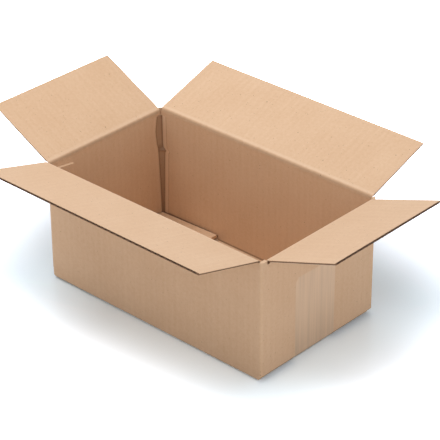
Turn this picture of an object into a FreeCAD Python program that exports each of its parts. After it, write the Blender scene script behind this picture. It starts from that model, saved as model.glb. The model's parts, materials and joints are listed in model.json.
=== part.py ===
"""Open shipping box of single-wall corrugated board, in millimetres.

A regular slotted carton: one sheet, creased and glued at one tab. The bottom is folded shut and taped
along its seam. The four top flaps stand open and turn about their creases.
Origin at the middle of the underside, +X along the length, +Y to the back, +Z up.
"""
import FreeCAD, Part

import math
import os

V = FreeCAD.Vector

# Board: two flat liners with a waved medium between them
board = 3.0
liner = 0.35
medium = 0.3
flute_pitch = 6.65
flute_flank_deg = 55.0
flute_depth = 20.0

# Cut edges of the top flaps, pressed thinner by the knife on their outer side: how much, and over what reach
edge_crush = 1.0
edge_crush_reach = 6.0
side_crush = 1.7
side_crush_reach = 3.0

# Outside of the box, with the height of the long flaps' fold line
box_length = 243.2
box_width = 140.0
fold_height = 109.0

# Folds: upright corners, bottom edges, and the crushed creases at the top
corner_radius = 4.0
near_corner_radius = 2.5
inner_corner_radius = 0.8
bottom_fold_radius = 3.4
long_axis_depth = 1.0
short_axis_depth = 0.0
fold_clearance = 0.15
open_limit_deg = 160.0

# Flaps: depth of the short ones, and how far the flaps' ends stand in from the inner wall faces. The
# right one also sits a little to the back. The slots between them leave the corners standing up.
short_flap_depth = 70.5
bottom_flap_inset = 1.6
long_flap_inset = 0.3
left_flap_inset = 0.5
right_flap_inset = 3.0
right_flap_shift = 0.9
slot_clearance = 0.5
corner_rise = 0.8

# Gaps between layers: closed top flaps, bottom flaps, and the seams where two long flaps meet
stack_gap = 0.2
layer_gap = 0.3
top_seam_gap = 0.6
bottom_seam_gap = 1.0

# The short bottom flaps spring up a little from the long ones
left_spring_deg = 1.9
right_spring_deg = 1.2

# Where each top flap stands, in degrees from straight up, outward
front_open_deg = 74.3
back_open_deg = 71.0
left_open_deg = 63.0
right_open_deg = 70.0

# Glue tab: the end of the front wall, folded round the corner and glued inside the left end wall
tab_width = 26.5
tab_foot_at_fold = 8.0
tab_foot_at_edge = 12.0
tab_head_at_fold = 6.0
tab_head_at_edge = 9.5
joint_setback = 4.6

# Slanting cuts under the corners, from the long wall's foot up to the end wall's face
foot_cut_run = 4.3
foot_cut_rise = 3.9
joint_cut_run = 3.3
joint_cut_rise = 6.5

# Tape along the bottom seam and up both end walls
tape_width = 48.0
tape_film = 0.15
tape_offset = -5.5
tail_height = 78.0
tail_slant = 1.3
tail_snip = 3.6

# Sizes worked out from the ones above
half_length = box_length / 2
half_width = box_width / 2
flute_height = board - 2 * liner
long_half_span = half_length - board - long_flap_inset
left_half_span = half_width - board - left_flap_inset
right_half_span = half_width - board - right_flap_inset
bottom_long_half_span = half_length - board - bottom_flap_inset
bottom_short_half_span = half_width - board - bottom_flap_inset
long_flap_depth = half_width - long_axis_depth - top_seam_gap / 2
short_fold_height = fold_height - (board - long_axis_depth) - stack_gap - short_axis_depth
upper_layer = board + layer_gap
end_fold_height = upper_layer + bottom_fold_radius
post_top = fold_height + corner_rise
post_bottom = board / 2
beyond = 5.0


def prism(points, along):
    """A solid with flat sides: a closed outline of points, pushed along a vector."""
    return Part.Face(Part.makePolygon(points + points[:1])).extrude(along)


def upright_block(corners, bottom, top):
    """A block over a plan of corners, each one x, y and the radius of its upright edge."""
    block = prism([V(x, y, bottom) for x, y, radius in corners], V(0, 0, top - bottom))
    for x, y, radius in corners:
        if radius:
            here = [e for e in block.Edges if all(math.hypot(v.X - x, v.Y - y) < 0.001 for v in e.Vertexes)]
            block = block.makeFillet(radius, here)
    return block


def crease_points(axis_depth):
    """Half of a crushed crease, as (depth from the outer face, distance from the fold axis).

    The inner side is cut back at 45 degrees, so that a flap closes by 90 degrees. The outer side is cut
    back by half of the open limit. Both cuts stay clear of the axis, and they meet in a thin edge.
    """
    lean = math.radians(open_limit_deg / 2)
    outer_reach = axis_depth * math.tan(lean) + fold_clearance / math.cos(lean)
    inner_reach = board - axis_depth + fold_clearance * math.sqrt(2)
    shift = fold_clearance * (1 / math.cos(lean) - math.sqrt(2)) / (1 + math.tan(lean))
    tip_reach = shift + fold_clearance * math.sqrt(2)
    return (0.0, outer_reach), (axis_depth + shift, tip_reach), (board, inner_reach)


def flute_hole(middle, points_inward, bottom, height, crush):
    """One flute as a solid: flat on a liner, rounded where the medium crosses over.

    In crushed board the outer liner is pressed in, and the wave is lower and its flanks lie flatter.
    """
    wave_height = flute_height - crush
    flank = math.atan(math.tan(math.radians(flute_flank_deg)) * wave_height / flute_height)
    hole_height = wave_height - medium
    base_half = (flute_pitch / 2 + wave_height / math.tan(flank) - medium / math.sin(flank)) / 2
    crest_half = (base_half - hole_height / math.tan(flank)) / (1 - math.tan(flank / 2) / math.tan(flank))
    shoulder = hole_height - crest_half * math.tan(flank / 2)

    def at(x, y):
        depth = crush + liner + y if points_inward else board - liner - y
        return V(middle + x, depth, bottom)

    left_foot, right_foot = at(-base_half, 0), at(base_half, 0)
    left_shoulder, right_shoulder = at(-crest_half, shoulder), at(crest_half, shoulder)
    edges = [
        Part.makeLine(left_foot, right_foot),
        Part.makeLine(right_foot, right_shoulder),
        Part.Arc(right_shoulder, at(0, hole_height), left_shoulder).toShape(),
        Part.makeLine(left_shoulder, left_foot),
    ]
    return Part.Face(Part.Wire(edges)).extrude(V(0, 0, height))


def flute_holes(half_span, free_edge, crush):
    """All flutes that a flap's free edge cuts open, pointing to one liner and the other by turns."""
    holes = []
    bottom, height = free_edge - flute_depth, flute_depth + beyond
    steps = int(2 * half_span / flute_pitch)
    for step in range(-steps, steps + 1):
        middle = step * flute_pitch / 2
        if abs(middle) + flute_pitch / 2 < half_span:
            holes.append(flute_hole(middle, step % 2 == 0, bottom, height, crush))
    return Part.makeCompound(holes)


def side_bevel(edge, depth):
    """What a flap's side edge at X = edge loses on its outer side, all along the flap."""
    inward, outward = math.copysign(side_crush_reach, -edge), math.copysign(beyond, edge)
    outline = [
        V(edge + inward, 0, -beyond),
        V(edge, side_crush, -beyond),
        V(edge + outward, side_crush, -beyond),
        V(edge + outward, -beyond, -beyond),
        V(edge + inward, -beyond, -beyond),
    ]
    return prism(outline, V(0, 0, depth + 2 * beyond))


def upright_flap(half_span, depth, axis_depth):
    """A top flap straight up: X along its fold, Y inward from its outer face, Z up from the fold axis."""
    outer, tip, inner = crease_points(axis_depth)
    section = [
        V(-half_span, outer[0], outer[1]),
        V(-half_span, tip[0], tip[1]),
        V(-half_span, inner[0], inner[1]),
        V(-half_span, board, depth),
        V(-half_span, edge_crush, depth),
        V(-half_span, 0, depth - edge_crush_reach),
    ]
    flap = prism(section, V(2 * half_span, 0, 0))
    for edge in (-half_span, half_span):
        flap = flap.cut(side_bevel(edge, depth))
    return flap.cut(flute_holes(half_span, depth, edge_crush))


def top_flap(half_span, depth, axis_depth, axis_height, wall_distance, side_deg, open_deg, shift=0.0):
    """A top flap turned open about its axis and set on its wall. Side 0 is the front, then round to +X.

    A shift moves it along its fold.
    """
    flap = upright_flap(half_span, depth, axis_depth)
    flap.rotate(V(0, axis_depth, 0), V(1, 0, 0), open_deg)
    flap.translate(V(shift, -wall_distance, axis_height))
    flap.rotate(V(0, 0, 0), V(0, 0, 1), side_deg)
    return flap


def crease_cutter(half_span, axis_depth, axis_height, wall_distance, side_deg, shift=0.0):
    """What is taken off a wall's top where its flap is creased, over the flap's span."""
    outer, tip, inner = crease_points(axis_depth)
    reach = half_span + slot_clearance
    section = [
        V(-reach, -beyond, axis_height - outer[1]),
        V(-reach, outer[0], axis_height - outer[1]),
        V(-reach, tip[0], axis_height - tip[1]),
        V(-reach, inner[0], axis_height - inner[1]),
        V(-reach, board + beyond, axis_height - inner[1]),
        V(-reach, board + beyond, axis_height + beyond),
        V(-reach, -beyond, axis_height + beyond),
    ]
    cutter = prism(section, V(2 * reach, 0, 0))
    cutter.translate(V(shift, -wall_distance, 0))
    cutter.rotate(V(0, 0, 0), V(0, 0, 1), side_deg)
    return cutter


def wall_ring():
    """The four walls and the glue tab, open below where the bottom folds begin.

    The front wall turns into the tab one board in from the left end wall's face. The left end wall is
    glued over the tab, and its cut edge shows at the front corner.
    """
    inner_length, inner_width = half_length - board, half_width - board
    outside = upright_block([
        (-inner_length, -half_width, corner_radius),
        (half_length, -half_width, near_corner_radius),
        (half_length, half_width, corner_radius),
        (-half_length, half_width, corner_radius),
        (-half_length, -half_width + joint_setback, 0),
        (-inner_length, -half_width + joint_setback, 0),
    ], post_bottom, post_top)
    inside = upright_block([
        (-inner_length, -inner_width, inner_corner_radius),
        (inner_length, -inner_width, inner_corner_radius),
        (inner_length, inner_width, inner_corner_radius),
        (-inner_length, inner_width, inner_corner_radius),
    ], 0, post_top + beyond)
    ring = outside.cut(inside).fuse(glue_tab().common(outside))
    for side_deg in (0, 180):
        ring = ring.cut(crease_cutter(long_half_span, long_axis_depth, fold_height, half_width, side_deg))
    for half_span, side_deg, shift in ((right_half_span, 90, right_flap_shift), (left_half_span, 270, 0)):
        ring = ring.cut(crease_cutter(half_span, short_axis_depth, short_fold_height, half_length,
                                      side_deg, shift))
    ring = ring.cut(foot_cut(half_length, foot_cut_run, foot_cut_rise, -half_width, half_width))
    ring = ring.cut(foot_cut(-half_length, foot_cut_run, foot_cut_rise, 0, half_width))
    under_long = Part.makeBox(2 * bottom_long_half_span, box_width, bottom_fold_radius,
                              V(-bottom_long_half_span, -half_width, 0))
    under_short = Part.makeBox(box_length, 2 * bottom_short_half_span, end_fold_height,
                               V(-half_length, -bottom_short_half_span, 0))
    return ring.cut(under_long).cut(under_short)


def foot_cut(corner_x, run, rise, front, back):
    """What is taken off under a corner, with a slant that rises towards the corner."""
    inward, outward = math.copysign(run, -corner_x), math.copysign(beyond, corner_x)
    outline = [
        V(corner_x + inward, front, post_bottom),
        V(corner_x, front, post_bottom + rise),
        V(corner_x + outward, front, post_bottom + rise),
        V(corner_x + outward, front, -beyond),
        V(corner_x + inward, front, -beyond),
    ]
    return prism(outline, V(0, back - front, 0))


def folded_bottom_flap(half_span, wall_distance, lift, free_edge, spring_deg, side_deg, fluted):
    """A bottom flap with the fold that joins it to its wall, side 0 being the front.

    It lies with its underside at lift, and rises inward by its spring. The free edge is that far from
    the box's middle. A fluted one shows its open flutes there.
    """
    spring = math.radians(spring_deg)
    centre_y, centre_z = -wall_distance + bottom_fold_radius, lift + bottom_fold_radius

    def lying(run, depth):
        """A point on the flap: run inward from the fold, depth up from its underside."""
        drop = bottom_fold_radius - depth
        return V(-half_span,
                 centre_y + run * math.cos(spring) + drop * math.sin(spring),
                 centre_z + run * math.sin(spring) - drop * math.cos(spring))

    def on_arc(turn):
        return V(-half_span,
                 centre_y - bottom_fold_radius * math.cos(turn),
                 centre_z - bottom_fold_radius * math.sin(turn))

    length = (-free_edge - centre_y) / math.cos(spring)
    quarter = math.pi / 2
    inner_y = -wall_distance + board
    overlap = (inner_y - lying(0, board).y) / math.cos(spring)
    corner = lying(overlap, board)
    wall_outer, wall_inner = on_arc(0), V(-half_span, inner_y, centre_z)
    edges = [
        Part.Arc(wall_outer, on_arc((quarter + spring) / 2), lying(0, 0)).toShape(),
        Part.makeLine(lying(0, 0), lying(length, 0)),
        Part.makeLine(lying(length, 0), lying(length, board)),
        Part.makeLine(lying(length, board), corner),
        Part.makeLine(corner, wall_inner),
        Part.makeLine(wall_inner, wall_outer),
    ]
    flap = Part.Face(Part.Wire(edges)).extrude(V(2 * half_span, 0, 0))
    if fluted:
        holes = flute_holes(half_span, 0, 0)
        holes.rotate(V(0, 0, 0), V(1, 0, 0), -90 + spring_deg)
        holes.translate(lying(length, 0) - V(-half_span, 0, 0))
        flap = flap.cut(holes)
    flap.rotate(V(0, 0, 0), V(0, 0, 1), side_deg)
    return flap


def glue_tab():
    """The tab against the inside of the left end wall, its head and foot cut at a slant."""
    face = -half_length + board
    fold, edge = -half_width + board, -half_width + board + tab_width
    outline = [
        V(face, fold, tab_foot_at_fold),
        V(face, edge, tab_foot_at_edge),
        V(face, edge, fold_height - tab_head_at_edge),
        V(face, fold, fold_height - tab_head_at_fold),
    ]
    return prism(outline, V(board, 0, 0))


def tape_strip():
    """The tape: flat under the seam, slanting up to each end wall's fold, round it and up the wall.

    Drawn in the XZ plane for the +X end, mirrored for the other, and pushed along Y.
    """
    centre = V(half_length - bottom_fold_radius, 0, end_fold_height)
    leave = V(bottom_long_half_span, 0, 0)
    reach = leave - centre
    spread = math.acos(bottom_fold_radius / reach.Length)
    turn = math.atan2(reach.z, reach.x) + spread

    def side(depth):
        """Points of one face, at a depth from the outer one: the flat's end, then round and up."""
        radius = bottom_fold_radius - depth
        touch = centre + V(math.cos(turn), 0, math.sin(turn)) * radius
        middle = centre + V(math.cos(turn / 2), 0, math.sin(turn / 2)) * radius
        upright = centre + V(radius, 0, 0)
        rise = (depth - touch.z) / math.cos(turn)
        bend = V(touch.x - rise * math.sin(turn), 0, depth)
        return bend, touch, middle, upright, V(upright.x, 0, tail_height)

    outer, inner = side(0), side(tape_film)

    def run(points):
        bend, touch, middle, upright, top = points
        return [Part.makeLine(bend, touch), Part.Arc(touch, middle, upright).toShape(),
                Part.makeLine(upright, top)]

    floor_start, ceiling_start = V(0, 0, 0), V(0, 0, tape_film)
    edges = [Part.makeLine(floor_start, outer[0])] + run(outer)
    edges += [Part.makeLine(outer[-1], inner[-1])] + run(inner)
    edges += [Part.makeLine(inner[0], ceiling_start), Part.makeLine(ceiling_start, floor_start)]
    half = Part.Face(Part.Wire(Part.__sortEdges__(edges))).extrude(V(0, tape_width, 0))
    half.translate(V(0, tape_offset - tape_width / 2, 0))
    other = half.mirror(V(0, 0, 0), V(1, 0, 0))
    strip = half.fuse(other).removeSplitter()
    return strip.cut(tail_trim())


def tail_trim():
    """What is cut off the tails: a slight slant, and the snipped corner towards the front."""
    front, back = tape_offset - tape_width / 2, tape_offset + tape_width / 2
    ceiling = tail_height + beyond
    outline = [
        V(-half_length - beyond, front - beyond, tail_height - tail_snip - beyond),
        V(-half_length - beyond, front, tail_height - tail_snip),
        V(-half_length - beyond, front + tail_snip, tail_height),
        V(-half_length - beyond, back, tail_height - tail_slant),
        V(-half_length - beyond, back + beyond, tail_height - tail_slant),
        V(-half_length - beyond, back + beyond, ceiling),
        V(-half_length - beyond, front - beyond, ceiling),
    ]
    return prism(outline, V(box_length + 2 * beyond, 0, 0))


def carton_body(tape):
    """Walls, glue tab and bottom flaps as one folded sheet, with the tape pressed flush into it."""
    seam = bottom_seam_gap / 2
    short_edge = half_length - short_flap_depth
    pieces = [folded_bottom_flap(bottom_long_half_span, half_width, 0, seam, 0, side_deg, False)
              for side_deg in (0, 180)]
    pieces += [folded_bottom_flap(bottom_short_half_span, half_length, upper_layer, short_edge, spring_deg,
                                  side_deg, True)
               for spring_deg, side_deg in ((right_spring_deg, 90), (left_spring_deg, 270))]
    joint_cut = foot_cut(-half_length + board, joint_cut_run, joint_cut_rise, -half_width - beyond,
                         -half_width + bottom_fold_radius)
    return wall_ring().multiFuse(pieces).removeSplitter().cut(joint_cut).cut(tape)


def top_flaps():
    """The four open flaps by name: sides are counted from the front, turning towards +X."""
    long_sides = {"top_flap_front": (0, front_open_deg), "top_flap_back": (180, back_open_deg)}
    short_sides = {
        "top_flap_right": (right_half_span, 90, right_open_deg, right_flap_shift),
        "top_flap_left": (left_half_span, 270, left_open_deg, 0),
    }
    flaps = {}
    for name, (side_deg, open_deg) in long_sides.items():
        flaps[name] = top_flap(long_half_span, long_flap_depth, long_axis_depth, fold_height, half_width,
                               side_deg, open_deg)
    for name, (half_span, side_deg, open_deg, shift) in short_sides.items():
        flaps[name] = top_flap(half_span, short_flap_depth, short_axis_depth, short_fold_height,
                               half_length, side_deg, open_deg, shift)
    return flaps


def main():
    os.makedirs("parts", exist_ok=True)
    tape = tape_strip()
    nodes = {"carton_body": carton_body(tape), "bottom_tape": tape}
    nodes.update(top_flaps())
    for name, shape in nodes.items():
        volume_cm3 = round(shape.Volume / 1000, 2)
        print(name, "solids", len(shape.Solids), "valid", shape.isValid(), "cm3", volume_cm3)
        shape.exportStep("parts/" + name + ".step")


main()
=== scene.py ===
"""Open shipping box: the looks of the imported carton, with its crease skins and the stage it stands on."""

import json
import math

import bmesh
import bpy
from mathutils import Matrix, Vector


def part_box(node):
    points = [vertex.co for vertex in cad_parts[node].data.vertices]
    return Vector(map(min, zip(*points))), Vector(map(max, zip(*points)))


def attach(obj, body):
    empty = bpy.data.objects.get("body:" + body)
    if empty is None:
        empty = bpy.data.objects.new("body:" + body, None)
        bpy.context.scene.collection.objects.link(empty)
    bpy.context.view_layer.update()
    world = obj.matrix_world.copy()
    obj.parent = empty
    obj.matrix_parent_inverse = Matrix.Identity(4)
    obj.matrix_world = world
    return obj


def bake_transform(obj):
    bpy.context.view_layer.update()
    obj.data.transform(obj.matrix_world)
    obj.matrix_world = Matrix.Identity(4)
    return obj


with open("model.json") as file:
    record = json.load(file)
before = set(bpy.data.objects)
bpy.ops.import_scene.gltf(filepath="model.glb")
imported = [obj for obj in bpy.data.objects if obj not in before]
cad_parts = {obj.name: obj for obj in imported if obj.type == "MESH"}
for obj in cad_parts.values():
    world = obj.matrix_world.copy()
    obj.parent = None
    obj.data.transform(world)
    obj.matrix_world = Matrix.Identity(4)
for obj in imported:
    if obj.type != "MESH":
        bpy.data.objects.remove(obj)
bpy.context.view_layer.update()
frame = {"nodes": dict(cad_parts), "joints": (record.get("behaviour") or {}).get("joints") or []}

bl_info = {
    "name": "Open Shipping Box",
    "version": (1, 0, 0),
    "blender": (4, 5, 0),
    "location": "View3D > Sidebar > Box",
    "description": "Board, tape, creases and stage for an open carton of corrugated board",
    "category": "Object",
}

MM = 0.001
MM_PER_M = 1000

# Each top flap: its side's turn about Z and its opening from straight up, in degrees, how deep its hinge
# lies under the outer face, and how far below the fold its bend starts, in mm. The long folds are pressed
# flatter than the short ones.
FLAPS = {
    "front": (0, 74.3, 1.0, 2.2),
    "right": (90, 70.0, 0.0, 0.0),
    "back": (180, 71.0, 1.0, 2.2),
    "left": (270, 63.0, 0.0, 1.0),
}
LONG_SIDES = ("front", "back")
HINGES = {joint["name"]: Vector(joint["pos_m"]) for joint in frame["joints"]}

# The box's own sizes in mm: half of its outside, its board and the outer radius of most upright corners
HALF_LENGTH = 121.6
HALF_WIDTH = 70.0
BOARD = 3.0
CORNER_RADIUS = 4.0
# Its bottom: where the upper layer starts, where the short flaps end, and what no part of it reaches
UPPER_LAYER = 3.3
SHORT_FLAP_EDGE = 51.1
BOTTOM_TOP = 12.0
# Just outside the bottom flaps' cut side edges, and just past the board's inner face
CUT_WITHIN = (117.1, 65.45)
PAST_BOARD = 3.4
# The left end wall's cut edge at the front corner: its Y, what it lies beyond in X, and the match allowed
TAB_SEAM_Y = -65.4
TAB_SEAM_X = -118.5
TAB_SEAM_MATCH = 0.1
# The open flutes on a flap: their middle and half depth in the board, and a height that all start above
FLUTES_MIDDLE = 1.85
FLUTES_HALF = 0.75
FLUTES_FROM = 30.0
# Painted shade in the box's creases: from full to none over this distance, how strong, and where the end
# walls' feet turn under
CREASE_SHADE_FROM, CREASE_SHADE_TO = 0.2, 1.7
CREASE_SHADE_MOST = 0.65
FOOT_DOWN_FROM, FOOT_DOWN_TO = 0.25, 0.6
FOOT_PAST = 118.0

# A crease skin: steps along the fold and round it, and how its tone goes round it from wall (0) to flap (1),
# a painted highlight at the crest and painted shade in the groove
FOLD_COLUMNS = 12
FOLD_STEPS = 12
CREST_AT, CREST_REACH, CREST_HIGHLIGHT = 0.85, 0.25, 0.5
GROOVE_AT, GROOVE_REACH, GROOVE_SHADE = 0.35, 0.4, 0.4
# The front fold's second crease, a dark line of painted shade: where it starts along the fold and how it
# fades in, in mm
SECOND_FROM, SECOND_FADE = 55, 15
SECOND_AT, SECOND_REACH = 0.7, 0.3

# The crushed crease in an inner corner, from the bottom up, in mm: height, where its flat starts on the
# end wall and where it ends on the long wall, both from the corner, and how dark the flat is, as painted
# shade
CORNER_ROWS = (
    (6.6, 0.9, 2.2, 0.7),
    (35.0, 2.0, 3.0, 0.62),
    (60.0, 3.2, 3.7, 0.55),
    (67.5, 3.7, 3.9, 0.5),
    (70.0, 4.0, 5.4, 0.75),
    (72.5, 4.2, 2.0, 0.75),
    (77.0, 5.4, 1.5, 0.5),
    (90.0, 6.6, 1.4, 0.48),
    (103.5, 4.6, 1.3, 0.55),
)
# Across it: which edge of the flat a column follows, how far past that edge, how proud it stands, its tone:
# painted highlight above zero, painted shade below, and the flat's painted shade where it is None
ON_END, ON_LONG = -1, 1
CORNER_COLUMNS = (
    (ON_END, 6.0, -0.1, 0.0),
    (ON_END, 3.0, 0.1, 0.2),
    (ON_END, 1.3, 0.1, 0.1),
    (ON_END, 0.0, 0.05, -0.8),
    (ON_END, -0.7, 0.05, None),
    (ON_LONG, -0.4, 0.05, None),
    (ON_LONG, 0.0, 0.05, -0.8),
    (ON_LONG, 1.3, 0.1, 0.45),
    (ON_LONG, 4.0, 0.1, 0.4),
    (ON_LONG, 4.8, 0.05, -0.35),
    (ON_LONG, 6.0, -0.1, 0.0),
)

# The floor, in metres: half its size, how far under the box, and two rectangles on it as middle and half
# size, the one that the painted soft shadow fades from and the box's foot
FLOOR_HALF = 6
FLOOR_DROP = 0.0003
SHADOW_AREA = ((0.0031, 0.0127, 0), (0.1317, 0.0893, 9))
FOOT_AREA = ((0, 0, 0), (0.1194, 0.0678, 9))
# What the camera sees of it, a painted shadow round the box and painted light on its right: its white at
# the shadow, how fast it grows with the distance squared, and how it leans over the floor
WHITE_NEAR = (0.956, 1.12, 1.246)
WHITE_GROWTH = (162, 162.6, 182.6)
SQUARE_MOST = 0.06
LEAN = (2.185, -2.31, 0)
LEAN_LEAST = 0.5
# What it throws back at the box, less near it as painted shade: near it and in the open, and over what
# distance that changes
BOUNCE_NEAR, BOUNCE_OPEN = 0.6, 0.88
BOUNCE_REACH = 0.06

# The room's even light, from level to overhead
ROOM_LOW, ROOM_HIGH = 0.85, 0.42
# Lamps: name, place, what it faces, width and height, all in metres, then its power and colour
LAMPS = (
    ("softbox", (-0.35, -0.15, 1.5), (0, 0, 0.1), (1.2, 1.2), 15.0, (1.0, 0.985, 0.965)),
    ("reflector", (1.2, -0.25, 0.28), (0, 0, 0.08), (1.2, 0.5), 1.6, (1.0, 1.0, 1.0)),
)


def hex_colour(code):
    """An sRGB hex code as the linear colour that Blender works in."""
    parts = [int(code[i:i + 2], 16) / 255 for i in (1, 3, 5)]
    return [c / 12.92 if c <= 0.04045 else ((c + 0.055) / 1.055) ** 2.4 for c in parts]


def colour_prop(name, description, code):
    return bpy.props.FloatVectorProperty(name=name, description=description, subtype="COLOR", size=3,
                                         min=0, max=1, default=hex_colour(code))


def length_prop(name, description, millimetres):
    return bpy.props.FloatProperty(name=name, description=description, subtype="DISTANCE", unit="LENGTH",
                                   min=0, default=millimetres * MM)


def angle_prop(name, description, degrees):
    return bpy.props.FloatProperty(name=name, description=description, subtype="ANGLE",
                                   default=math.radians(degrees))


class BoardSettings(bpy.types.PropertyGroup):
    """Colours of the board, and the sizes that its pattern follows."""
    liner: colour_prop("Liner", "Kraft paper that both faces of the board show", "#DBB998")
    liner_dark: colour_prop("Liner streaks", "The same paper where it is thin or pressed", "#CFA985")
    core: colour_prop("Cut edge", "The waved paper between the liners, seen at a cut", "#735135")
    speck: colour_prop("Specks", "Bits of bark and dark fibre in the paper", "#7A583C")
    board: length_prop("Board thickness", "Both liners and the waved paper", BOARD)
    liner_thickness: length_prop("Liner thickness", "One liner", 0.35)
    flute_pitch: length_prop("Flute pitch", "From one wave of the board to the next", 6.65)


class TapeSettings(bpy.types.PropertyGroup):
    """Colour of the packing tape."""
    film: colour_prop("Film over board", "Board as it looks through the clear film", "#DCBD9F")


class CreaseSettings(bpy.types.PropertyGroup):
    """Sizes of the paper that bridges each top fold, and the colours of the painted highlight and painted
    shade on it.
    """
    # Painted highlight: the paler colour laid along each fold's crest
    crest_highlight_colour: colour_prop("Worn crest", "Liner where a fold stretches it", "#EBCDB0")
    # Painted shade: the dark colour laid in crease grooves, in the inner corners, along the walls' feet and
    # on the box's cuts
    pressed: colour_prop("Pressed line", "Liner in the groove of a crease", "#6B4626")
    reach: length_prop("Reach", "How far the inner skin runs on from the fold", 2.9)
    proud: length_prop("Stand proud", "How far a skin stands off the board under it", 0.04)
    skin: length_prop("Skin thickness", "Thickness of the liner that bridges the fold", 0.3)
    end_gap: length_prop("End gap", "How far each skin stops short of the flap's ends", 0.15)


class StageSettings(bpy.types.PropertyGroup):
    """Place and lens of the camera."""
    azimuth: angle_prop("Azimuth", "Camera turn from the front", 42.883)
    elevation: angle_prop("Elevation", "Camera height as an angle", 29.982)
    roll: angle_prop("Roll", "Camera turn about its own view", -0.3835)
    distance: length_prop("Distance", "Camera to the point it looks at", 1631.2)
    lens: bpy.props.FloatProperty(name="Lens", description="Focal length on a 36 mm sensor, in mm", min=1,
                                  default=159.17)
    target: bpy.props.FloatVectorProperty(name="Looks at", description="Point in the middle of the view",
                                          subtype="TRANSLATION", unit="LENGTH", size=3,
                                          default=(-0.004555, 0.019583, 0.06131))


def add(tree, kind, settings=None, sockets=None):
    """Adds a node, with its settings by name and its inputs by name or number: a value or a link."""
    node = tree.nodes.new(kind)
    for name, value in (settings or {}).items():
        setattr(node, name, value)
    for name, value in (sockets or {}).items():
        if isinstance(value, bpy.types.NodeSocket):
            tree.links.new(value, node.inputs[name])
        else:
            node.inputs[name].default_value = value
    return node


def new_material(name):
    """An empty material: itself, its node tree and its output's surface socket."""
    material = bpy.data.materials.new(name)
    material.use_nodes = True
    material.node_tree.nodes.clear()
    output = material.node_tree.nodes.new("ShaderNodeOutputMaterial")
    return material, material.node_tree, output.inputs["Surface"]


def fold_frame(side):
    """A matrix from a fold's own axes (X along it, Y inward, Z up, hinge at the origin) to the box."""
    turn_deg = FLAPS[side][0]
    return Matrix.Translation(HINGES[side + "_fold"]) @ Matrix.Rotation(math.radians(turn_deg), 4, "Z")


def piece_from(bm, name, material):
    """A mesh object from a bmesh, at the origin, with its material."""
    mesh = bpy.data.meshes.new(name)
    bm.to_mesh(mesh)
    bm.free()
    made = bpy.data.objects.new(name, mesh)
    bpy.context.scene.collection.objects.link(made)
    mesh.materials.append(material)
    return made


def flap_point(tree, side):
    """Where a point of a top flap is on its board, from a turned copy of the object's coordinates.

    Gives, in mm, how far across the flutes, along them and deep from the outer face it is. Then come the
    object's coordinates and whether the surface is a cut. A flap has no painted crease shade, so the last is
    empty.
    """
    open_deg, axis_depth = FLAPS[side][1:3]
    from_flap = (fold_frame(side)
                 @ Matrix.Rotation(math.radians(open_deg), 4, "X")
                 @ Matrix.Translation((0, -axis_depth * MM, 0)))
    to_flap = from_flap.inverted()
    place = add(tree, "ShaderNodeTexCoord")
    coords = place.outputs["Object"]
    turned = add(tree, "ShaderNodeMapping", {"vector_type": "POINT"}, {
        "Vector": coords, "Location": to_flap.translation * MM_PER_M, "Rotation": to_flap.to_euler(),
        "Scale": (MM_PER_M, MM_PER_M, MM_PER_M)})
    parts = add(tree, "ShaderNodeSeparateXYZ", sockets={0: turned.outputs[0]})
    across, depth, along = parts.outputs
    # Inside the open flutes every face is the waved paper
    in_flute = add(tree, "ShaderNodeMath", {"operation": "COMPARE"},
                   {0: depth, 1: FLUTES_MIDDLE, 2: FLUTES_HALF})
    far = add(tree, "ShaderNodeMath", {"operation": "GREATER_THAN"}, {0: along, 1: FLUTES_FROM})
    flute_cut = add(tree, "ShaderNodeMath", {"operation": "MULTIPLY"},
                    {0: in_flute.outputs[0], 1: far.outputs[0]})
    # Every edge of the flap is a cut too, and faces sideways on it
    facing = add(tree, "ShaderNodeVectorMath", {"operation": "DOT_PRODUCT"},
                 {0: place.outputs["Normal"], 1: from_flap.col[1].xyz})
    facing = add(tree, "ShaderNodeMath", {"operation": "ABSOLUTE"}, {0: facing.outputs["Value"]})
    side_cut = add(tree, "ShaderNodeMath", {"operation": "LESS_THAN"}, {0: facing.outputs[0], 1: 0.5})
    is_cut = add(tree, "ShaderNodeMath", {"operation": "MAXIMUM"},
                 {0: flute_cut.outputs[0], 1: side_cut.outputs[0]})
    return across, along, depth, coords, is_cut.outputs[0], None


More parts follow.
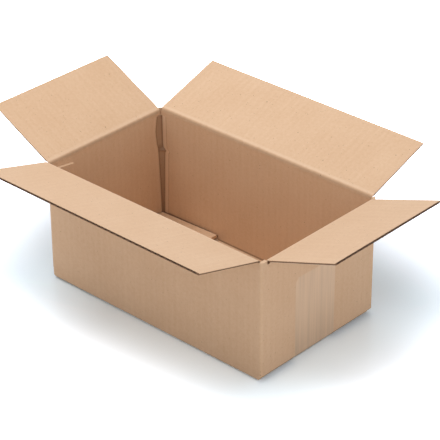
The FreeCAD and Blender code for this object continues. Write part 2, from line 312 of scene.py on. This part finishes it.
def carton_point(tree):
    """Where a point of the box is on its board: by its place in the outline, or by its layer on the bottom.

    Gives, in mm, how far across the flutes, along them and deep from the outer face it is. Then come the
    object's coordinates, whether the surface is a cut, and how dark the painted shade of its creases makes
    it.
    """
    place = add(tree, "ShaderNodeTexCoord")
    coords = place.outputs["Object"]
    mm = add(tree, "ShaderNodeVectorMath", {"operation": "SCALE"}, {0: coords, "Scale": MM_PER_M})
    parts = add(tree, "ShaderNodeSeparateXYZ", sockets={0: mm.outputs[0]})
    x, y, z = parts.outputs
    size = add(tree, "ShaderNodeVectorMath", {"operation": "ABSOLUTE"}, {0: mm.outputs[0]})
    outline = add(tree, "ShaderNodeSeparateXYZ", sockets={0: size.outputs[0]})

    # Depth in the walls: how far inside the outline with its round corners, whatever the height
    past = add(tree, "ShaderNodeVectorMath", {"operation": "SUBTRACT"},
               {0: size.outputs[0], 1: (HALF_LENGTH - CORNER_RADIUS, HALF_WIDTH - CORNER_RADIUS, 1e6)})
    past = add(tree, "ShaderNodeVectorMath", {"operation": "MAXIMUM"}, {0: past.outputs[0], 1: (0, 0, 0)})
    reach = add(tree, "ShaderNodeVectorMath", {"operation": "LENGTH"}, {0: past.outputs[0]})
    wall_depth = add(tree, "ShaderNodeMath", {"operation": "SUBTRACT"},
                     {0: CORNER_RADIUS, 1: reach.outputs["Value"]})

    # Which wall or which bottom layer it is, and so which way the flutes run
    to_end = add(tree, "ShaderNodeMath", {"operation": "SUBTRACT"},
                 {0: outline.outputs["X"], 1: HALF_LENGTH - HALF_WIDTH})
    on_end = add(tree, "ShaderNodeMath", {"operation": "GREATER_THAN"},
                 {0: to_end.outputs[0], 1: outline.outputs["Y"]})
    inside = add(tree, "ShaderNodeMath", {"operation": "GREATER_THAN"},
                 {0: wall_depth.outputs[0], 1: PAST_BOARD})
    low = add(tree, "ShaderNodeMath", {"operation": "LESS_THAN"}, {0: z, 1: BOTTOM_TOP})
    bottom = add(tree, "ShaderNodeMath", {"operation": "MULTIPLY"}, {0: inside.outputs[0], 1: low.outputs[0]})
    upper = add(tree, "ShaderNodeMath", {"operation": "GREATER_THAN"}, {0: z, 1: (BOARD + UPPER_LAYER) / 2})
    turned = add(tree, "ShaderNodeMix", {"data_type": "FLOAT"},
                 {"Factor": bottom.outputs[0], "A": on_end.outputs[0], "B": upper.outputs[0]})
    turned = turned.outputs["Result"]
    across = add(tree, "ShaderNodeMix", {"data_type": "FLOAT"}, {"Factor": turned, "A": x, "B": y})
    on_bottom = add(tree, "ShaderNodeMix", {"data_type": "FLOAT"}, {"Factor": turned, "A": y, "B": x})
    along = add(tree, "ShaderNodeMix", {"data_type": "FLOAT"},
                {"Factor": bottom.outputs[0], "A": z, "B": on_bottom.outputs["Result"]})
    layer = add(tree, "ShaderNodeMath", {"operation": "MULTIPLY_ADD"},
                {0: upper.outputs[0], 1: -UPPER_LAYER, 2: z})
    depth = add(tree, "ShaderNodeMix", {"data_type": "FLOAT"},
                {"Factor": bottom.outputs[0], "A": wall_depth.outputs[0], "B": layer.outputs[0]})

    # Painted shade: a dark line where the walls meet the bottom inside, on the layer that is on top there
    to_wall = add(tree, "ShaderNodeVectorMath", {"operation": "SUBTRACT"},
                  {0: (HALF_LENGTH - BOARD, HALF_WIDTH - BOARD, 0), 1: size.outputs[0]})
    to_wall = add(tree, "ShaderNodeSeparateXYZ", sockets={0: to_wall.outputs[0]})
    nearest = add(tree, "ShaderNodeMath", {"operation": "MINIMUM"},
                  {0: to_wall.outputs["X"], 1: to_wall.outputs["Y"]})
    nearest = add(tree, "ShaderNodeMath", {"operation": "ABSOLUTE"}, {0: nearest.outputs[0]})
    doubled = add(tree, "ShaderNodeMath", {"operation": "GREATER_THAN"},
                  {0: outline.outputs["X"], 1: SHORT_FLAP_EDGE})
    top = add(tree, "ShaderNodeMath", {"operation": "MULTIPLY_ADD"},
              {0: doubled.outputs[0], 1: UPPER_LAYER, 2: BOARD})
    above = add(tree, "ShaderNodeMath", {"operation": "SUBTRACT"}, {0: z, 1: top.outputs[0]})
    apart = add(tree, "ShaderNodeCombineXYZ", sockets={0: nearest.outputs[0], 1: above.outputs[0]})
    apart = add(tree, "ShaderNodeVectorMath", {"operation": "LENGTH"}, {0: apart.outputs[0]})
    groove = add(tree, "ShaderNodeMapRange", {"interpolation_type": "SMOOTHSTEP"}, {
        "Value": apart.outputs["Value"], "From Min": CREASE_SHADE_FROM, "From Max": CREASE_SHADE_TO,
        "To Min": CREASE_SHADE_MOST, "To Max": 0.0})
    # Outside, the crease along the foot of each end wall gets the painted shade too
    down = add(tree, "ShaderNodeVectorMath", {"operation": "DOT_PRODUCT"},
               {0: place.outputs["Normal"], 1: (0, 0, -1)})
    down = add(tree, "ShaderNodeMapRange", {"interpolation_type": "SMOOTHSTEP"}, {
        "Value": down.outputs["Value"], "From Min": FOOT_DOWN_FROM, "From Max": FOOT_DOWN_TO,
        "To Max": CREASE_SHADE_MOST})
    at_end = add(tree, "ShaderNodeMath", {"operation": "GREATER_THAN"},
                 {0: outline.outputs["X"], 1: FOOT_PAST})
    down = add(tree, "ShaderNodeMath", {"operation": "MULTIPLY"}, {0: down.outputs[0], 1: at_end.outputs[0]})
    groove = add(tree, "ShaderNodeMath", {"operation": "MAXIMUM"}, {0: groove.outputs[0], 1: down.outputs[0]})

    # Cuts on the box: the bottom flaps' edges, and the end wall's edge beside the glue tab. They take the
    # dark crease colour, partly the cut's own paper and partly painted shade in the gaps where they lie
    within = add(tree, "ShaderNodeMath", {"operation": "LESS_THAN"},
                 {0: outline.outputs["X"], 1: CUT_WITHIN[0]})
    within_y = add(tree, "ShaderNodeMath", {"operation": "LESS_THAN"},
                   {0: outline.outputs["Y"], 1: CUT_WITHIN[1]})
    is_cut = add(tree, "ShaderNodeMath", {"operation": "MULTIPLY"},
                 {0: within.outputs[0], 1: within_y.outputs[0]})
    is_cut = add(tree, "ShaderNodeMath", {"operation": "MULTIPLY"}, {0: is_cut.outputs[0], 1: low.outputs[0]})
    normal = add(tree, "ShaderNodeVectorMath", {"operation": "ABSOLUTE"}, {0: place.outputs["Normal"]})
    normal = add(tree, "ShaderNodeSeparateXYZ", sockets={0: normal.outputs[0]})
    at_tab = add(tree, "ShaderNodeMath", {"operation": "COMPARE"}, {0: y, 1: TAB_SEAM_Y, 2: TAB_SEAM_MATCH})
    left_end = add(tree, "ShaderNodeMath", {"operation": "LESS_THAN"}, {0: x, 1: TAB_SEAM_X})
    at_tab = add(tree, "ShaderNodeMath", {"operation": "MULTIPLY"},
                 {0: at_tab.outputs[0], 1: left_end.outputs[0]})
    at_tab = add(tree, "ShaderNodeMath", {"operation": "MULTIPLY"},
                 {0: at_tab.outputs[0], 1: normal.outputs["Y"]})
    is_cut = add(tree, "ShaderNodeMath", {"operation": "MAXIMUM"},
                 {0: is_cut.outputs[0], 1: at_tab.outputs[0]})
    return (across.outputs["Result"], along.outputs["Result"], depth.outputs["Result"], coords,
            is_cut.outputs[0], groove.outputs[0])


def board_material(name, side=None, creased=False):
    """Kraft liner on corrugated board: matt, cloudy paper with a faint washboard over the flutes.

    Its pulp gives soft blotches and flecks, the waved paper below gives streaks every few millimetres,
    and a cut shows that darker waved paper between two thin pale liners.
    """
    look = bpy.context.scene.board_settings
    folds = bpy.context.scene.crease_settings
    material, tree, surface = new_material(name)
    across, along, depth, coords, is_cut, groove = flap_point(tree, side) if side else carton_point(tree)
    place = add(tree, "ShaderNodeCombineXYZ", sockets={0: across, 1: along, 2: depth}).outputs[0]

    # Clouds of pulp a few centimetres wide, and blotches of 3 mm, coarser than the real ones to show
    clouds = add(tree, "ShaderNodeTexNoise", sockets={"Vector": coords, "Scale": 28.0, "Detail": 2.0})
    blotches = add(tree, "ShaderNodeTexNoise", sockets={"Vector": coords, "Scale": 420.0, "Detail": 3.0,
                                                        "Roughness": 0.65})
    # Streaks along the flutes: 2 to 5 mm wide and some 60 mm long
    stretched = add(tree, "ShaderNodeMapping", sockets={"Vector": place, "Scale": (0.42, 0.016, 0.05)})
    streaks = add(tree, "ShaderNodeTexNoise", sockets={"Vector": stretched.outputs[0], "Scale": 1.0,
                                                       "Detail": 2.5, "Roughness": 0.6})
    # The washboard: one wave for each flute, in the relief and laid faintly into the colour as painted shade
    turns = add(tree, "ShaderNodeMath", {"operation": "MULTIPLY"},
                {0: across, 1: 2 * math.pi / (look.flute_pitch * MM_PER_M)})
    wave = add(tree, "ShaderNodeMath", {"operation": "SINE"}, {0: turns.outputs[0]})

    shade = add(tree, "ShaderNodeMath", {"operation": "MULTIPLY_ADD"},
                {0: clouds.outputs[0], 1: 0.5, 2: -0.25})
    for pattern, strength in ((blotches, 0.9), (streaks, 0.35), (wave, 0.035)):
        shade = add(tree, "ShaderNodeMath", {"operation": "MULTIPLY_ADD"},
                    {0: pattern.outputs[0], 1: strength, 2: shade.outputs[0]})
    shade = add(tree, "ShaderNodeMapRange",
                sockets={"Value": shade.outputs[0], "From Min": 0.3, "From Max": 1.0})

    # What is laid over the liner, in order: how much of it and its colour
    layers = [(shade.outputs[0], look.liner_dark)]
    # Specks under a millimetre, few and far apart
    fleck = add(tree, "ShaderNodeTexNoise", sockets={"Vector": coords, "Scale": 700.0, "Detail": 1.0})
    fleck = add(tree, "ShaderNodeMapRange",
                sockets={"Value": fleck.outputs[0], "From Min": 0.74, "From Max": 0.8})
    layers.append((fleck.outputs[0], look.speck))
    if creased:
        # Creases carry their own tone: a painted highlight along the crest and painted shade in the groove
        tone = add(tree, "ShaderNodeAttribute", {"attribute_name": "fold_tone"}).outputs["Fac"]
        dark = add(tree, "ShaderNodeMath", {"operation": "MULTIPLY"}, {0: tone, 1: -1.0})
        for strength, colour in ((tone, folds.crest_highlight_colour), (dark.outputs[0], folds.pressed)):
            strength = add(tree, "ShaderNodeMath", {"operation": "MAXIMUM"}, {0: strength, 1: 0.0})
            layers.append((strength.outputs[0], colour))
    else:
        # Painted shade along the box's creases
        if groove is not None:
            layers.append((groove, folds.pressed))
        # The cut: dark between the liners. On the box it takes the crease colour, partly the cut and partly
        # painted shade
        middle = look.board * MM_PER_M / 2
        core_half = middle - look.liner_thickness * MM_PER_M
        between = add(tree, "ShaderNodeMath", {"operation": "COMPARE"}, {0: depth, 1: middle, 2: core_half})
        cut = add(tree, "ShaderNodeMath", {"operation": "MULTIPLY"}, {0: between.outputs[0], 1: is_cut})
        layers.append((cut.outputs[0], look.core if side else folds.pressed))
    paper = (*look.liner, 1)
    for strength, colour in layers:
        paper = add(tree, "ShaderNodeMix", {"data_type": "RGBA"},
                    {"Factor": strength, 6: paper, 7: (*colour, 1)}).outputs[2]

    # Relief: the washboard stands 0.05 mm, the paper's grain is drawn at 1 mm to show
    grain = add(tree, "ShaderNodeTexNoise", sockets={"Vector": coords, "Scale": 900.0, "Detail": 2.0})
    relief = add(tree, "ShaderNodeMath", {"operation": "MULTIPLY_ADD"},
                 {0: wave.outputs[0], 1: 0.25, 2: grain.outputs[0]})
    relief = add(tree, "ShaderNodeMath", {"operation": "MULTIPLY_ADD"},
                 {0: streaks.outputs[0], 1: 0.6, 2: relief.outputs[0]})
    bump = add(tree, "ShaderNodeBump",
               sockets={"Height": relief.outputs[0], "Strength": 0.5, "Distance": 0.0001})
    shader = add(tree, "ShaderNodeBsdfPrincipled", sockets={
        "Base Color": paper, "Roughness": 0.65, "Specular IOR Level": 0.5,
        "Sheen Weight": 0.18, "Sheen Roughness": 0.45, "Normal": bump.outputs[0]})
    tree.links.new(shader.outputs[0], surface)
    return material


def tape_material():
    """Polypropylene packing film, clear and rolled on: the board shows through it, a little paler.

    Its gloss is broken by the flutes under it, which gives whitish streaks up the wall; they are painted into
    its colour as lighter and darker streaks, a painted reflection. It is drawn opaque, in the colour of the
    board seen through it.
    """
    look = bpy.context.scene.tape_settings
    material, tree, surface = new_material("clear_packing_film")
    coords = add(tree, "ShaderNodeTexCoord").outputs["Object"]
    # Streaks about 3 mm wide and 110 mm tall: painted reflection of the broken gloss in the colour, and a
    # little relief
    stretched = add(tree, "ShaderNodeMapping", sockets={"Vector": coords, "Scale": (350, 350, 9)})
    streaks = add(tree, "ShaderNodeTexNoise",
                  sockets={"Vector": stretched.outputs[0], "Scale": 1.0, "Detail": 2.0})
    shade = add(tree, "ShaderNodeMapRange", sockets={
        "Value": streaks.outputs[0], "From Min": 0.3, "From Max": 0.7, "To Min": 0.9, "To Max": 1.06})
    # A little darker towards the floor
    height = add(tree, "ShaderNodeSeparateXYZ", sockets={0: coords}).outputs["Z"]
    low = add(tree, "ShaderNodeMapRange", {"interpolation_type": "SMOOTHSTEP"},
              {"Value": height, "From Max": 0.05, "To Min": 0.86, "To Max": 1.0})
    shade = add(tree, "ShaderNodeMath", {"operation": "MULTIPLY"}, {0: shade.outputs[0], 1: low.outputs[0]})
    film = add(tree, "ShaderNodeVectorMath", {"operation": "SCALE"},
               {0: look.film, "Scale": shade.outputs[0]})
    bump = add(tree, "ShaderNodeBump",
               sockets={"Height": streaks.outputs[0], "Strength": 0.35, "Distance": 0.0002})
    shader = add(tree, "ShaderNodeBsdfPrincipled", sockets={
        "Base Color": film.outputs[0], "Roughness": 0.32, "IOR": 1.49, "Normal": bump.outputs[0]})
    tree.links.new(shader.outputs[0], surface)
    return material


class BOX_OT_board(bpy.types.Operator):
    """Give the box and its flaps the look of corrugated board"""
    bl_idname = "box.board"
    bl_label = "Board"

    def execute(self, context):
        finishes = {"carton_body": board_material("kraft_board_walls")}
        board_material("kraft_liner", creased=True)
        for side in FLAPS:
            finishes["top_flap_" + side] = board_material("kraft_board_" + side + "_flap", side)
        for node, finish in finishes.items():
            slots = frame["nodes"][node].data.materials
            slots.clear()
            slots.append(finish)
        return {"FINISHED"}


class BOX_OT_tape(bpy.types.Operator):
    """Give the packing tape the look of clear film"""
    bl_idname = "box.tape"
    bl_label = "Tape"

    def execute(self, context):
        slots = frame["nodes"]["bottom_tape"].data.materials
        slots.clear()
        slots.append(tape_material())
        return {"FINISHED"}


def peak(value, middle, reach):
    """1 where the value is at the middle, falling to 0 at its reach."""
    return max(0.0, 1 - abs(value - middle) / reach)


class BOX_OT_creases(bpy.types.Operator):
    """Bridge each top fold with the liner that runs over it"""
    bl_idname = "box.creases"
    bl_label = "Creases"

    def execute(self, context):
        sizes = context.scene.crease_settings
        board = context.scene.board_settings.board
        for side, (_, open_deg, axis_depth, bend_from) in FLAPS.items():
            to_box = fold_frame(side)
            open_turn = math.radians(open_deg)
            bend_from *= MM
            low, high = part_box("top_flap_" + side)
            span = (high.x - low.x if side in LONG_SIDES else high.y - low.y) - 2 * sizes.end_gap
            # The right flap sits a little off its wall's middle
            start_x = (to_box.inverted() @ ((low + high) / 2)).x - span / 2
            # The bend touches the wall's inner face and the flap's, and both ends dip into the board
            face = board - axis_depth * MM + sizes.proud
            radius = face + bend_from / math.tan(open_turn / 2)
            sunk = face - 3 * sizes.proud
            bm = bmesh.new()
            first = bmesh.ops.create_vert(bm, co=(start_x, sunk, -bend_from - sizes.reach))["vert"][0]
            second = bmesh.ops.create_vert(bm, co=(start_x, face, -bend_from))["vert"][0]
            bm.edges.new((first, second))
            turned = bmesh.ops.spin(bm, geom=[second], cent=(0, face - radius, -bend_from), axis=(1, 0, 0),
                                    angle=open_turn, steps=FOLD_STEPS)
            last = turned["geom_last"][0]
            run = Matrix.Rotation(open_turn, 3, "X") @ Vector((0, sunk - face, sizes.reach))
            grown = bmesh.ops.extrude_vert_indiv(bm, verts=[last])
            bmesh.ops.translate(bm, verts=grown["verts"], vec=run)
            profile = bm.edges[:]
            for column in range(FOLD_COLUMNS):
                swept = bmesh.ops.extrude_edge_only(bm, edges=profile)["geom"]
                moved = {part for part in swept if isinstance(part, bmesh.types.BMVert)}
                bmesh.ops.translate(bm, verts=list(moved), vec=(span / FOLD_COLUMNS, 0, 0))
                profile = [part for part in swept if isinstance(part, bmesh.types.BMEdge)
                           and moved.issuperset(part.verts)]
            bmesh.ops.recalc_face_normals(bm, faces=bm.faces)
            bm.normal_update()
            if sum(face.normal.y for face in bm.faces) < 0:
                bmesh.ops.reverse_faces(bm, faces=bm.faces)
            bmesh.ops.solidify(bm, geom=bm.faces[:], thickness=sizes.skin)
            tone = bm.verts.layers.float.new("fold_tone")
            for vert in bm.verts:
                turn = math.atan2(vert.co.z + bend_from, vert.co.y - face + radius) / open_turn
                # The tone paints a highlight at the crest and shade in the groove
                crest = peak(turn, CREST_AT, CREST_REACH)
                groove = peak(turn, GROOVE_AT, GROOVE_REACH)
                vert[tone] = CREST_HIGHLIGHT * crest - GROOVE_SHADE * groove
                if side == "front":
                    # Its right half gets a dark line of painted shade, standing for a second crease on the
                    # inner side
                    fade = min(1.0, max(0.0, (vert.co.x / MM - SECOND_FROM) / SECOND_FADE))
                    again = fade * peak(turn, SECOND_AT, SECOND_REACH)
                    vert[tone] = (1 - again) * vert[tone] - again
            bmesh.ops.transform(bm, matrix=to_box, verts=bm.verts)
            made = piece_from(bm, "crease_" + side + "_inner", bpy.data.materials["kraft_liner"])
            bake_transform(made)
        return {"FINISHED"}


class BOX_OT_corners(bpy.types.Operator):
    """Press the crushed creases into the inner corners, with painted shade in their lines and painted
    highlight on their ridges
    """
    bl_idname = "box.corners"
    bl_label = "Corners"

    def execute(self, context):
        skin = context.scene.crease_settings.skin
        rows, columns = len(CORNER_ROWS), len(CORNER_COLUMNS)
        # The fourth corner is under the glue tab
        for name, end, back in (("back_left", -1, 1), ("back_right", 1, 1), ("front_right", 1, -1)):
            bm = bmesh.new()
            bmesh.ops.create_grid(bm, x_segments=columns - 1, y_segments=rows - 1, size=1)
            tone = bm.verts.layers.float.new("fold_tone")
            for vert in bm.verts:
                column = round((vert.co.x + 1) / 2 * (columns - 1))
                row = round((vert.co.y + 1) / 2 * (rows - 1))
                height, on_end, on_long, flat = CORNER_ROWS[row]
                wall, past, proud, shade = CORNER_COLUMNS[column]
                from_end, from_long = self.corner_spot(on_end, on_long, wall, past, proud)
                vert.co = (end * (HALF_LENGTH - BOARD - from_end) * MM,
                           back * (HALF_WIDTH - BOARD - from_long) * MM, height * MM)
                # Painted shade on the flat and along the crease lines, painted highlight on the ridges
                vert[tone] = -flat if shade is None else shade
            bmesh.ops.recalc_face_normals(bm, faces=bm.faces)
            bm.normal_update()
            if sum(face.normal.x * end + face.normal.y * back for face in bm.faces) > 0:
                bmesh.ops.reverse_faces(bm, faces=bm.faces)
            bmesh.ops.solidify(bm, geom=bm.faces[:], thickness=skin)
            piece = piece_from(bm, "crease_corner_" + name, bpy.data.materials["kraft_liner"])
            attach(piece, "carton")
        return {"FINISHED"}

    def corner_spot(self, on_end, on_long, wall, past, proud):
        """How far a column stands from the end wall's inner face and from the long wall's, in mm.

        Past the flat's edge it follows a wall. On the flat it is on the straight line between both edges.
        """
        inside = max(0.0, -past)
        if wall == ON_END:
            return (inside / on_end * on_long if inside else proud), on_end + past
        return on_long + past, (inside / on_long * on_end if inside else proud)


class BOX_OT_stage(bpy.types.Operator):
    """Set the box on a pale floor under soft studio light, with the camera at the photograph's angle"""
    bl_idname = "box.stage"
    bl_label = "Stage"

    def execute(self, context):
        scene = context.scene
        scene.view_settings.view_transform = "Standard"
        self.make_floor()
        self.make_room(scene)
        self.make_lamps(scene)
        self.make_camera(scene)
        return {"FINISHED"}

    def make_floor(self):
        """A wide pale sweep that shows white to the camera away from the box, darker near it as a painted
        shadow over the real one.
        """
        bm = bmesh.new()
        bmesh.ops.create_grid(bm, x_segments=1, y_segments=1, size=FLOOR_HALF)
        bmesh.ops.translate(bm, verts=bm.verts, vec=(0, 0, -FLOOR_DROP))
        material, tree, surface = new_material("pale_floor")
        seen = add(tree, "ShaderNodeLightPath").outputs["Is Camera Ray"]
        coords = add(tree, "ShaderNodeTexCoord").outputs["Object"]
        # How far a point lies outside each rectangle
        spreads = []
        for middle, half in (SHADOW_AREA, FOOT_AREA):
            off = add(tree, "ShaderNodeVectorMath", {"operation": "SUBTRACT"}, {0: coords, 1: middle})
            off = add(tree, "ShaderNodeVectorMath", {"operation": "ABSOLUTE"}, {0: off.outputs[0]})
            off = add(tree, "ShaderNodeVectorMath", {"operation": "SUBTRACT"}, {0: off.outputs[0], 1: half})
            off = add(tree, "ShaderNodeVectorMath", {"operation": "MAXIMUM"},
                      {0: off.outputs[0], 1: (0, 0, 0)})
            off = add(tree, "ShaderNodeVectorMath", {"operation": "LENGTH"}, {0: off.outputs[0]})
            spreads.append(off.outputs["Value"])
        from_shadow, from_foot = spreads
        # To the camera the floor grows whiter with the square of the distance, which paints a shadow round
        # the box
        square = add(tree, "ShaderNodeMath", {"operation": "POWER"}, {0: from_shadow, 1: 2.0})
        square = add(tree, "ShaderNodeMath", {"operation": "MINIMUM"}, {0: square.outputs[0], 1: SQUARE_MOST})
        square = add(tree, "ShaderNodeCombineXYZ", sockets={axis: square.outputs[0] for axis in range(3)})
        white = add(tree, "ShaderNodeVectorMath", {"operation": "MULTIPLY_ADD"},
                    {0: square.outputs[0], 1: WHITE_GROWTH, 2: WHITE_NEAR})
        # It is painted a little lighter on the camera's right than behind the box and on the left: painted
        # light
        lean = add(tree, "ShaderNodeVectorMath", {"operation": "DOT_PRODUCT"}, {0: coords, 1: LEAN})
        lean = add(tree, "ShaderNodeMath", {"operation": "ADD"}, {0: lean.outputs["Value"], 1: 1.0})
        lean = add(tree, "ShaderNodeMath", {"operation": "MAXIMUM"}, {0: lean.outputs[0], 1: LEAN_LEAST})
        white = add(tree, "ShaderNodeVectorMath", {"operation": "SCALE"},
                    {0: white.outputs[0], "Scale": lean.outputs[0]})
        # It throws back less light near the box than in the open: painted shade that darkens the box's lower
        # walls
        bounce = add(tree, "ShaderNodeMapRange", {"interpolation_type": "SMOOTHSTEP"}, {
            "Value": from_foot, "From Max": BOUNCE_REACH, "To Min": BOUNCE_NEAR, "To Max": BOUNCE_OPEN})
        tint = add(tree, "ShaderNodeMix", {"data_type": "VECTOR"},
                   {"Factor": seen, 4: bounce.outputs[0], 5: white.outputs[0]})
        shader = add(tree, "ShaderNodeBsdfPrincipled",
                     sockets={"Base Color": tint.outputs[1], "Roughness": 0.2, "Specular IOR Level": 0.3})
        tree.links.new(shader.outputs[0], surface)
        floor = piece_from(bm, "floor", material)

    def make_room(self, scene):
        """Even light from all round, stronger from low down, which shows white to the camera."""
        world = bpy.data.worlds.new("soft_room")
        scene.world = world
        world.use_nodes = True
        tree = world.node_tree
        tree.nodes.clear()
        rays = add(tree, "ShaderNodeLightPath")
        seen = add(tree, "ShaderNodeMath", {"operation": "MAXIMUM"},
                   {0: rays.outputs["Is Camera Ray"], 1: rays.outputs["Is Glossy Ray"]})
        seen = add(tree, "ShaderNodeMath", {"operation": "MAXIMUM"},
                   {0: seen.outputs[0], 1: rays.outputs["Is Transmission Ray"]})
        height = add(tree, "ShaderNodeTexCoord").outputs["Generated"]
        height = add(tree, "ShaderNodeSeparateXYZ", sockets={0: height}).outputs["Z"]
        even = add(tree, "ShaderNodeMapRange", sockets={
            "Value": height, "From Min": 0.0, "From Max": 0.9, "To Min": ROOM_LOW, "To Max": ROOM_HIGH})
        light = add(tree, "ShaderNodeMix", {"data_type": "FLOAT"},
                    {"Factor": seen.outputs[0], "A": even.outputs[0], "B": 1.0})
        background = add(tree, "ShaderNodeBackground",
                         sockets={"Color": (1, 1, 1, 1), "Strength": light.outputs[0]})
        add(tree, "ShaderNodeOutputWorld", sockets={"Surface": background.outputs[0]})

    def make_lamps(self, scene):
        """A wide softbox over the box, and a weak card that lights the right end."""
        for name, place, faces, size, energy, colour in LAMPS:
            lamp = bpy.data.lights.new(name, "AREA")
            lamp.shape = "RECTANGLE"
            lamp.size, lamp.size_y = size
            lamp.energy = energy
            lamp.color = colour
            stand = bpy.data.objects.new(name, lamp)
            away = Vector(place) - Vector(faces)
            stand.matrix_world = Matrix.Translation(place) @ away.to_track_quat("Z", "Y").to_matrix().to_4x4()
            scene.collection.objects.link(stand)

    def make_camera(self, scene):
        """The camera on its orbit round the target, with the photograph's slight roll."""
        stage = scene.stage_settings
        azimuth, elevation = stage.azimuth, stage.elevation
        level = math.cos(elevation)
        back = Vector((math.sin(azimuth) * level, -math.cos(azimuth) * level, math.sin(elevation)))
        right = Vector((math.cos(azimuth), math.sin(azimuth), 0))
        turn = Matrix((right, back.cross(right), back)).transposed() @ Matrix.Rotation(stage.roll, 3, "Z")
        lens = bpy.data.cameras.new("camera")
        lens.lens, lens.sensor_width = stage.lens, 36
        lens.clip_start, lens.clip_end = 0.05, 60
        camera = bpy.data.objects.new("camera", lens)
        camera.matrix_world = Matrix.Translation(Vector(stage.target) + back * stage.distance) @ turn.to_4x4()
        scene.collection.objects.link(camera)
        scene.camera = camera


class BOX_PT_panel(bpy.types.Panel):
    """Lists the steps that dress the box"""
    bl_idname = "BOX_PT_panel"
    bl_label = "Open Shipping Box"
    bl_space_type = "VIEW_3D"
    bl_region_type = "UI"
    bl_category = "Box"

    def draw(self, context):
        for step in OPERATORS:
            self.layout.operator(step.bl_idname)
        for name in SETTINGS:
            box = self.layout.box()
            group = getattr(context.scene, name)
            for prop in group.bl_rna.properties:
                if prop.identifier not in ("name", "rna_type"):
                    box.prop(group, prop.identifier)


SETTINGS = {
    "board_settings": BoardSettings,
    "tape_settings": TapeSettings,
    "crease_settings": CreaseSettings,
    "stage_settings": StageSettings,
}
OPERATORS = (BOX_OT_board, BOX_OT_tape, BOX_OT_creases, BOX_OT_corners, BOX_OT_stage)


def register():
    for group in SETTINGS.values():
        bpy.utils.register_class(group)
    for name, group in SETTINGS.items():
        setattr(bpy.types.Scene, name, bpy.props.PointerProperty(type=group))
    for part in (*OPERATORS, BOX_PT_panel):
        bpy.utils.register_class(part)


def unregister():
    for part in (BOX_PT_panel, *reversed(OPERATORS)):
        bpy.utils.unregister_class(part)
    for name in SETTINGS:
        delattr(bpy.types.Scene, name)
    for group in SETTINGS.values():
        bpy.utils.unregister_class(group)


def main():
    register()
    bpy.ops.box.board()
    bpy.ops.box.tape()
    bpy.ops.box.creases()
    bpy.ops.box.corners()
    bpy.ops.box.stage()


if __name__ == "__main__":
    main()
